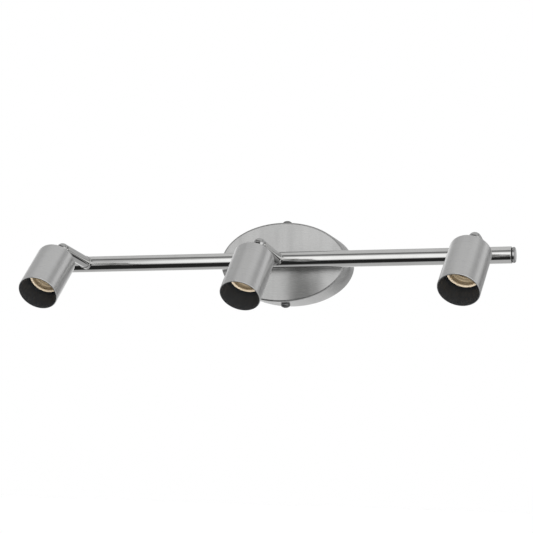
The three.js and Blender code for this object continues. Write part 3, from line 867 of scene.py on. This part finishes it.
def make_slot():
    """The room for the tongue: open below, round over the pivot, and open in front only as
    far up as the tongue comes at its highest."""
    lift = math.radians(HIGHEST_TILT)
    reach = 2 * STEM
    roof = [math.radians(180 - 10 * k) for k in range(13)]
    slot = prism("slot", [
        (-SLOT_RADIUS, -STEM),
        *[(SLOT_RADIUS * math.cos(angle), SLOT_RADIUS * math.sin(angle)) for angle in roof],
        (SLOT_RADIUS * math.sin(lift) + reach * math.cos(lift),
         SLOT_RADIUS * math.cos(lift) - reach * math.sin(lift)),
    ], -SLOT_WIDTH / 2, SLOT_WIDTH / 2)
    return moved(slot, z=PIVOT_DISTANCE, angle=-90, axis="Y")


def make_stem(name):
    """A hollow round rod with a rounded end, which is slotted for the head's tongue."""
    radius = STEM / 2
    end = PIVOT_DISTANCE + radius
    stem = lathe(name, [
        (0, STEM_FOOT), (radius, STEM_FOOT, 0.6),
        *[(radius, STEM_FOOT + (PIVOT_DISTANCE - STEM_FOOT) * k / 6) for k in range(1, 6)],
        (radius, end, radius - 0.4), (0, end),
    ], ROUND, 12)
    slot_floor = PIVOT_DISTANCE - SLOT_RADIUS
    bore = rod("bore", STEM_BORE, STEM_FOOT + STEM_FLOOR, slot_floor + 1)
    hole = rod("hole", BOLT + 2 * GAP, 0, STEM_FOOT + STEM_FLOOR + 1)
    pin = rod("pin", PIVOT_PIN + 2 * GAP, -PIVOT_TIP - GAP, STEM)
    head_seat = rod("head_seat", PIVOT_HEAD + 2 * GAP, PIVOT_HEAD_SEAT - GAP, STEM)
    for cutter in (pin, head_seat):
        moved(cutter, z=PIVOT_DISTANCE, angle=90, axis="Y")
    cut(stem, bore, hole, make_slot(), pin, head_seat)
    return soften(stem, 0.3)


def build_arm(side):
    swivel, tilt = JOINTS[f"swivel_{side}"], JOINTS[f"tilt_{side}"]
    fixed = placed(swivel["pos_m"], swivel["axis"])
    turning = placed(swivel["pos_m"], swivel["axis"], tilt["axis"])
    collar = saddle(f"collar_{side}", COLLAR, COLLAR_TOP, BOLT + 2 * GAP)
    dress(collar, f"stem_collar_{side}", fixed, "stem_nickel")
    dress(make_bolt(f"hollow_bolt_{side}"), f"swivel_bolt_{side}", fixed, "zinc_steel")
    lock = hex_nut(
        f"lock_nut_{side}", LOCK_NUT, BOLT + 2 * GAP, LOCK_NUT_FOOT, LOCK_NUT_TOP,
    )
    dress(lock, f"swivel_nut_{side}", fixed, "zinc_steel")
    dress(make_stem(f"slotted_stem_{side}"), f"stem_{side}", turning, "stem_nickel")
    pivot = shifted(turning, 0, 0, PIVOT_DISTANCE)
    screw = round_screw(
        f"tilt_screw_{side}", PIVOT_PIN - SHANK_PLAY, PIVOT_HEAD, PIVOT_HEAD_HEIGHT,
        PIVOT_HEAD_SEAT + PIVOT_TIP, PIVOT_RECESS,
    )
    screw_place = turned(shifted(pivot, PIVOT_HEAD_SEAT), 90, "Y")
    dress(screw, f"pivot_screw_{side}", screw_place, "polished_nickel")


# ---- heads ----

def make_knuckle(name):
    """A round-ended tongue on a boss, with a threaded stud that goes into the shell."""
    foot = HEAD_OFFSET - 2
    end = TONGUE_RADIUS - 0.02
    tongue = prism(name, [
        (-TONGUE_RADIUS, foot), (-TONGUE_RADIUS, -TONGUE_RADIUS, end),
        (TONGUE_RADIUS, -TONGUE_RADIUS, end), (TONGUE_RADIUS, foot),
    ], -TONGUE_THICKNESS / 2, TONGUE_THICKNESS / 2, 14)
    moved(tongue, angle=90, axis="X")
    moved(tongue, angle=90, axis="Z")
    pin = moved(rod("pin", PIVOT_PIN + 2 * GAP, -10, 10), angle=90, axis="Y")
    cut(tongue, pin)
    soften(tongue, 0.5)
    top = HEAD_OFFSET + STUD_LENGTH
    boss_foot = HEAD_OFFSET - BOSS_THICKNESS
    boss = lathe("boss", [
        (0, boss_foot), (BOSS / 2, boss_foot, 0.8), (BOSS / 2, HEAD_OFFSET - 0.1, 0.2),
        *rungs(STUD / 2 - THREAD_DEPTH, HEAD_OFFSET - 0.1, top - 0.6, THREAD_STEP),
        (STUD / 2 - 0.6, top), (0, top),
    ], SMALL, 4, thread(THREAD_DEPTH, THREAD_PITCH, HEAD_OFFSET, top))
    return join(tongue, boss)


def make_shell(name):
    """The head's drawn tube, closed at the pivot end. Its inside and front rim are black."""
    radius = HEAD / 2
    inner = radius - HEAD_WALL
    back, front = HEAD_OFFSET, HEAD_OFFSET + HEAD_LENGTH
    hole = STUD / 2 + GAP
    straight = HEAD_LENGTH - HEAD_EDGE_RADIUS - 1
    lengths = [straight * (k / 8) for k in range(1, 8)]
    shell = lathe(name, [
        (hole, back, 0.2), (radius, back, HEAD_EDGE_RADIUS),
        *[(radius, back + HEAD_EDGE_RADIUS + length) for length in lengths],
        (radius, front, HEAD_RIM_RADIUS), (inner, front, 0.12),
        *[(inner, front - length) for length in lengths],
        (inner, back + HEAD_WALL, HEAD_EDGE_RADIUS - HEAD_WALL), (hole, back + HEAD_WALL, 0.2),
    ], ROUND, 8)
    wire = moved(rod("wire", WIRE_HOLE, back - 1, back + HEAD_WALL + 1), y=WIRE_HOLE_OFFSET)
    return cut(shell, wire)


def is_inside(reach, height):
    """True for the shell's inside and the flat of its front rim."""
    on_rim = height > HEAD_OFFSET + HEAD_LENGTH - 0.05
    beyond_back = height > HEAD_OFFSET + HEAD_WALL / 2
    return on_rim or (beyond_back and reach < HEAD / 2 - HEAD_WALL / 2)


def make_grommet(name):
    """The rubber ring in the shell's wire hole, with a lip on both sides of the wall."""
    bore, neck, lip = GROMMET_BORE / 2, WIRE_HOLE / 2 - 0.1, WIRE_HOLE / 2 + 0.9
    outside, inside = HEAD_OFFSET - 0.1, HEAD_OFFSET + HEAD_WALL + 0.1
    low, high = outside - GROMMET_LIP, inside + GROMMET_LIP
    ring = lathe(name, [
        (bore, low, 0.4), (lip, low, 0.45), (lip, outside, 0.3), (neck, outside),
        (neck, inside), (lip, inside, 0.3), (lip, high, 0.45), (bore, high, 0.4),
    ])
    return moved(ring, y=WIRE_HOLE_OFFSET)


def make_socket_bracket(name):
    """A bent strap under the stud's nut, with two legs that grip the lamp holder."""
    leg = SOCKET_BODY / 2 + 0.1
    outer = leg + BRACKET_THICKNESS
    foot, top = BRACKET_SEAT, SOCKET_BASE + BRACKET_LEG
    outer_bend, inner_bend = 1.8, 0.7
    strap = prism(name, [
        (-outer, foot, outer_bend), (outer, foot, outer_bend), (outer, top), (leg, top),
        (leg, foot + BRACKET_THICKNESS, inner_bend), (-leg, foot + BRACKET_THICKNESS, inner_bend),
        (-leg, top), (-outer, top),
    ], -BRACKET_WIDTH / 2, BRACKET_WIDTH / 2)
    moved(strap, angle=90, axis="X")
    return soften(cut(strap, rod("hole", STUD + 2 * GAP, foot - 1, foot + 4)), 0.25)


def make_socket(name):
    """The glazed porcelain lamp holder."""
    collar_foot = SOCKET_BASE + SOCKET_BODY_LENGTH
    floor = SOCKET_BASE + SOCKET_FLOOR
    body, bore, mouth = SOCKET_BODY / 2, SOCKET_BORE / 2, SOCKET_MOUTH / 2
    return lathe(name, [
        (0, SOCKET_BASE), (body, SOCKET_BASE, 1.2), (body, collar_foot - 3, 1.0),
        (SOCKET / 2, collar_foot, 1.2), (SOCKET / 2, SOCKET_FACE, 1.1),
        (mouth, SOCKET_FACE, 0.9), (mouth, SOCKET_FACE - SOCKET_SHOULDER),
        (bore, SOCKET_FACE - SOCKET_THROAT), (bore, floor), (0, floor),
    ], ROUND, 6)


def make_screw_shell(name):
    """The rolled brass thread that a lamp screws into, flared at its mouth."""
    mouth, neck = SOCKET_MOUTH / 2 - 0.35, SOCKET_BORE / 2 - 0.65
    floor_hole = 8
    foot = SOCKET_BASE + SOCKET_FLOOR + GAP
    throat, shoulder = SOCKET_FACE - SOCKET_THROAT, SOCKET_FACE - SOCKET_SHOULDER
    lip = SOCKET_FACE - 1.0
    outline = []
    for offset in (0, -SHELL_SHEET):
        wall = [(floor_hole, foot - offset)]
        wall += rungs(neck + offset, foot - offset, throat, LAMP_THREAD_STEP)
        for share in (k / 10 for k in range(1, 10)):
            reach = neck + (mouth - neck) * share + offset
            wall.append((reach, throat + (shoulder - throat) * share))
        wall += rungs(mouth + offset, shoulder, lip, LAMP_THREAD_STEP)
        outline += wall if offset == 0 else reversed(wall)
    rolled = thread(LAMP_THREAD_DEPTH, LAMP_THREAD_PITCH, foot + 1, lip - 0.2)
    return lathe(name, outline, ROUND, 1, rolled)


def make_contact(name):
    """The button on a round foot that a lamp's tip presses."""
    foot = SOCKET_BASE + SOCKET_FLOOR + GAP
    return lathe(name, [
        (0, foot), (5, foot, 0.3), (5, foot + 0.8, 0.3), (3.4, foot + 0.8, 0.3),
        (3.2, foot + 3.4, 1.6), (1.2, foot + 4.2, 1.5), (0, foot + 4.2),
    ])


def build_head(side):
    tilt, seat = JOINTS[f"tilt_{side}"], MOUNTS[f"lamp_seat_{side}"]
    placement = placed(tilt["pos_m"], seat["axis"], tilt["axis"])
    dress(make_knuckle(f"tongue_{side}"), f"knuckle_{side}", placement, "satin_nickel")
    shell = dress(make_shell(f"head_tube_{side}"), f"shell_{side}", placement, "satin_nickel")
    paint_where(shell, "black_paint", is_inside)
    dress(make_grommet(f"grommet_{side}"), f"wire_grommet_{side}", placement, "black_rubber")
    nut_foot = BRACKET_SEAT + BRACKET_THICKNESS + GAP
    nut = hex_nut(
        f"stud_nut_{side}", STUD_NUT, STUD + 2 * GAP, nut_foot, nut_foot + STUD_NUT_HEIGHT,
    )
    dress(nut, f"knuckle_nut_{side}", placement, "zinc_steel")
    strap = make_socket_bracket(f"holder_strap_{side}")
    dress(strap, f"socket_bracket_{side}", placement, "zinc_steel")
    dress(make_socket(f"lamp_holder_{side}"), f"socket_body_{side}", placement, "porcelain")
    dress(make_screw_shell(f"lamp_thread_{side}"), f"screw_shell_{side}", placement, "brass")
    dress(make_contact(f"contact_{side}"), f"center_contact_{side}", placement, "brass")


# ---- studio ----

def build_camera():
    """The camera: it looks along CAMERA_YAW and CAMERA_RISE at CAMERA_TARGET, rolled."""
    yaw, rise, roll = (math.radians(a) for a in (CAMERA_YAW, CAMERA_RISE, CAMERA_ROLL))
    ahead = Vector((
        -math.sin(yaw) * math.cos(rise), math.cos(yaw) * math.cos(rise), math.sin(rise),
    ))
    level = Vector((math.cos(yaw), math.sin(yaw), 0))
    down = ahead.cross(level)
    right = level * math.cos(roll) + down * math.sin(roll)
    up = level * math.sin(roll) - down * math.cos(roll)
    data = bpy.data.cameras.new("camera")
    data.lens = CAMERA_LENS
    data.sensor_width = CAMERA_SENSOR
    data.clip_end = CAMERA_REACH
    camera = bpy.data.objects.new("camera", data)
    matrix = Matrix((right, up, -ahead)).transposed().to_4x4()
    matrix.translation = Vector(CAMERA_TARGET) - ahead * CAMERA_DISTANCE
    camera.matrix_world = matrix
    bpy.context.scene.collection.objects.link(camera)
    bpy.context.scene.camera = camera


def build_floor():
    """A pale matt floor, which the metal doesn't reflect."""
    mesh_data = bmesh.new()
    bmesh.ops.create_grid(mesh_data, x_segments=8, y_segments=8, size=FLOOR_SIZE / 2)
    floor = to_object("floor", mesh_data)
    lowest = CAD_BOX[0][2]
    floor.location = (0, 0, lowest - FLOOR_DROP)
    floor.visible_glossy = False
    pale = coated(
        "pale_floor", (0.97, 0.97, 0.97), (0.96, 0.96, 0.96),
        roughness=(0.8, 0.9), grain=40, relief=0.0,
    )
    shader = pale.node_tree.nodes["Principled BSDF"]
    shader.inputs["Emission Color"].default_value = (1, 1, 1, 1)
    shader.inputs["Emission Strength"].default_value = FLOOR_GLOW
    floor.data.materials.append(pale)


class Studio:
    """The world's nodes, which give its light as a function of direction in degrees:
    bearing is from the front, to the right, and rise is above the horizon."""

    def __init__(self):
        world = bpy.data.worlds.new("studio")
        world.use_nodes = True
        bpy.context.scene.world = world
        self.tree = world.node_tree
        place = add(self.tree, "ShaderNodeTexCoord")
        axes = add(self.tree, "ShaderNodeSeparateXYZ")
        self.tree.links.new(place.outputs["Generated"], axes.inputs[0])
        x, y, z = axes.outputs
        front = self.math("MULTIPLY", y, -1.0)
        self.rise = self.degrees(self.math("ARCSINE", z))
        self.bearing = self.degrees(self.math("ARCTAN2", x, front))

    def math(self, operation, *values):
        """A math node, whose inputs are numbers or other nodes' outputs."""
        node = add(self.tree, "ShaderNodeMath", operation=operation)
        for index, value in enumerate(values):
            if isinstance(value, (int, float)):
                node.inputs[index].default_value = value
            else:
                self.tree.links.new(value, node.inputs[index])
        return node.outputs[0]

    def degrees(self, angle):
        return self.math("MULTIPLY", angle, 180 / math.pi)

    def band(self, angle, centre, half_width, blur):
        """1 within half_width of the centre, falling to 0 over blur degrees."""
        away = self.math("ABSOLUTE", self.math("SUBTRACT", angle, centre))
        node = add(
            self.tree, "ShaderNodeMapRange", interpolation_type="SMOOTHSTEP",
            From_Min=half_width - blur / 2, From_Max=half_width + blur / 2, To_Min=1.0, To_Max=0.0,
        )
        self.tree.links.new(away, node.inputs["Value"])
        return node.outputs["Result"]

    def panel(self, light, brightness, bearing, rise, blur):
        """Puts a panel over the light. bearing and rise are its centre and half width,
        and blur is how far its edge spreads in each."""
        mask = self.math(
            "MULTIPLY",
            self.band(self.rise, *rise, blur[1]),
            self.band(self.bearing, *bearing, blur[0]),
        )
        rest = self.math("MULTIPLY", light, self.math("SUBTRACT", 1.0, mask))
        return self.math("ADD", rest, self.math("MULTIPLY", mask, brightness))


STUDIO_BASE = 0.52                 # brightness where there is no panel
# brightness, bearing (centre, half width), rise (centre, half width), blur of both, in degrees
STUDIO_PANELS = [
    (0.60, (0, 181), (78, 26), (10, 14)),       # ceiling
    (0.62, (150, 40), (2, 12), (24, 12)),       # backdrop behind, on the right
    (0.95, (-180, 60), (-4, 14), (30, 14)),     # and on the left
    (1.05, (-168, 28), (-16, 8), (20, 10)),     # with a bright foot
    (0.02, (-25, 75), (-48, 24), (30, 10)),     # dark table edge in front
    (0.16, (-25, 60), (50, 10), (24, 10)),      # dark gap above the front light
    (1.15, (30, 53), (6, 22), (5, 12)),         # long front light
    (0.22, (106, 10), (42, 12), (12, 14)),      # flags and strips at the sides
    (0.98, (124, 7), (24, 14), (8, 12)),
    (0.05, (143, 8), (12, 12), (8, 12)),
    (0.08, (152, 9), (-8, 13), (6, 6)),
    (0.34, (152, 9), (-11, 1.5), (6, 3)),
    (0.03, (152, 9), (-22, 4), (6, 5)),
    (0.45, (-118, 9), (38, 10), (12, 14)),
    (1.05, (-148, 14), (14, 12), (12, 14)),
]
# name, place in metres, width and height in metres, watts
LIGHTS = [
    ("key", (-0.9, -1.4, 1.1), (1.2, 0.8), 12),
    ("fill", (0.2, -1.0, -0.55), (0.8, 0.4), 7),
]


def build_light(name, place, size, energy):
    """A soft light that faces the object and stays out of the metal's reflections."""
    data = bpy.data.lights.new(name, "AREA")
    data.shape = "RECTANGLE"
    data.size, data.size_y = size
    data.energy = energy
    light = bpy.data.objects.new(name, data)
    light.matrix_world = placed(place, place)
    light.visible_glossy = False
    bpy.context.scene.collection.objects.link(light)


def build_studio():
    """Reflections see the panels, and every other ray sees an even white."""
    studio = Studio()
    tree = studio.tree
    light = STUDIO_BASE
    for panel in STUDIO_PANELS:
        light = studio.panel(light, *panel)
    path = add(tree, "ShaderNodeLightPath")
    shown = tree.nodes["Background"]
    shown.inputs["Strength"].default_value = 1.0
    glossy = path.outputs["Is Glossy Ray"]
    plain = studio.math("SUBTRACT", 1.0, glossy)
    total = studio.math("ADD", studio.math("MULTIPLY", light, glossy), plain)
    tree.links.new(total, shown.inputs["Color"])
    for light_values in LIGHTS:
        build_light(*light_values)
    bpy.context.scene.view_settings.view_transform = "Standard"


build_camera()
build_canopy()
build_bar()
for side_name in SIDES:
    build_arm(side_name)
    build_head(side_name)
build_floor()
build_studio()
